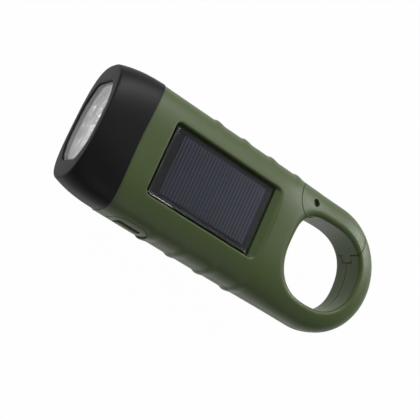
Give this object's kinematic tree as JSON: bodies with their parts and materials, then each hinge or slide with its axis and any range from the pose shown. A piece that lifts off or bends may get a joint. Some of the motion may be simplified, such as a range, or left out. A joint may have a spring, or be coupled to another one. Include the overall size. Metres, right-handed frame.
{
  "type": "hand crank flashlight",
  "caption": "Palm-sized hand crank flashlight with a solar panel on its face, a wide lamp window at one end and a hinged hook ring at the other.",
  "frame": {"origin": "under the middle of the light's length and width, on the plane of the crank arm's outer face, which the light lies on", "axes": "+X along the beam, out of the lamp window; +Z out of the solar face; +Y to the side with the power button"},
  "size_m": [0.146, 0.0562, 0.0326],
  "materials": {
    "olive_plastic": "satin olive green",
    "black_soft_plastic": "soft matt black",
    "black_plastic": "matt black",
    "clear_lens": "clear",
    "bright_reflector": "mirror bright",
    "led_epoxy": "clear to milky",
    "circuit_board": "green solder mask",
    "black_laminate": "black",
    "silicon": "dark blue",
    "clear_resin": "glossy clear",
    "steel": "plain",
    "green_rubber": "satin olive green",
    "cell_can": "plain",
    "brass": "turned",
    "nylon": "natural white",
    "ferrite": "dark grey",
    "core_iron": "plain",
    "copper_winding": "enamelled copper",
    "red_wire": "satin",
    "dark_wire": "satin"
  },
  "bodies": {
    "frame": {"front_shell": "olive_plastic", "back_shell": "olive_plastic", "head_bezel": "black_soft_plastic", "lens": "clear_lens", "reflector": "bright_reflector", "led_1": "led_epoxy", "led_2": "led_epoxy", "led_3": "led_epoxy", "led_board": "circuit_board", "solar_board": "black_laminate", "solar_cell": "silicon", "solar_cover": "clear_resin", "gate_pin": "steel", "gate_spring": "steel", "switch_plate": "olive_plastic", "tact_switch": "black_plastic", "usb_socket": "steel", "main_board": "circuit_board", "battery_holder": "black_plastic", "battery_cell": "cell_can", "shaft_bush": "brass", "compound_axle": "steel", "rotor_axle": "steel", "gear_plate": "steel", "stator_core": "core_iron", "generator_coil": "copper_winding", "plate_screw_1": "steel", "plate_screw_2": "steel", "plate_screw_3": "steel", "body_screw_1": "steel", "body_screw_2": "steel", "body_screw_3": "steel", "body_screw_4": "steel", "solar_wire_1": "red_wire", "solar_wire_2": "dark_wire", "lamp_wire_1": "red_wire", "lamp_wire_2": "dark_wire"},
    "crank": {"crank_arm": "olive_plastic", "hub_cap": "black_plastic", "crank_screw": "steel", "crank_shaft": "steel", "knob_hinge_pin": "steel", "drive_gear": "nylon"},
    "compound": {"compound_gear": "nylon"},
    "generator_rotor": {"rotor": "ferrite"},
    "knob_bracket": {"knob_spindle": "steel"},
    "knob": {"crank_knob": "black_plastic"},
    "gate": {"carabiner_gate": "olive_plastic"},
    "button": {"power_button": "olive_plastic"},
    "port_flap": {"port_cover": "green_rubber"}
  },
  "joints": [
    {"name": "crank_turn", "type": "hinge", "parent": "frame", "child": "crank", "pos_m": [0.018, 0, 0], "axis": [0, 0, 1], "continuous": true},
    {"name": "compound_spin", "type": "hinge", "parent": "frame", "child": "compound", "pos_m": [0.0005, -0.00789, 0.015], "axis": [0, 0, 1], "continuous": true},
    {"name": "rotor_spin", "type": "hinge", "parent": "frame", "child": "generator_rotor", "pos_m": [-0.00761, 0.00437, 0.015], "axis": [0, 0, 1], "continuous": true},
    {"name": "knob_flip", "type": "hinge", "parent": "crank", "child": "knob_bracket", "pos_m": [-0.0095, 0, 0.0041], "axis": [0, 1, 0], "range_deg": [0, 90]},
    {"name": "knob_spin", "type": "hinge", "parent": "knob_bracket", "child": "knob", "pos_m": [0, 0, 0.0041], "axis": [1, 0, 0], "continuous": true},
    {"name": "gate_swing", "type": "hinge", "parent": "frame", "child": "gate", "pos_m": [-0.0288, -0.0205, 0.02], "axis": [0, 0, -1], "range_deg": [0, 30], "stiffness_Nm_per_rad": 0.06, "springref_deg": -17.19},
    {"name": "button_press", "type": "slide", "parent": "frame", "child": "button", "axis": [0, -1, 0], "range_m": [0, 0.0008], "stiffness_N_per_m": 400, "springref_m": -0.001},
    {"name": "port_cover_swing", "type": "hinge", "parent": "frame", "child": "port_flap", "pos_m": [0.0315, -0.0267, 0.0185], "axis": [0, 0, -1], "range_deg": [0, 100]}
  ],
  "couplings": [
    {"joint": "compound_spin", "follows": "crank_turn", "ratio": -3},
    {"joint": "rotor_spin", "follows": "crank_turn", "ratio": 7.5}
  ]
}
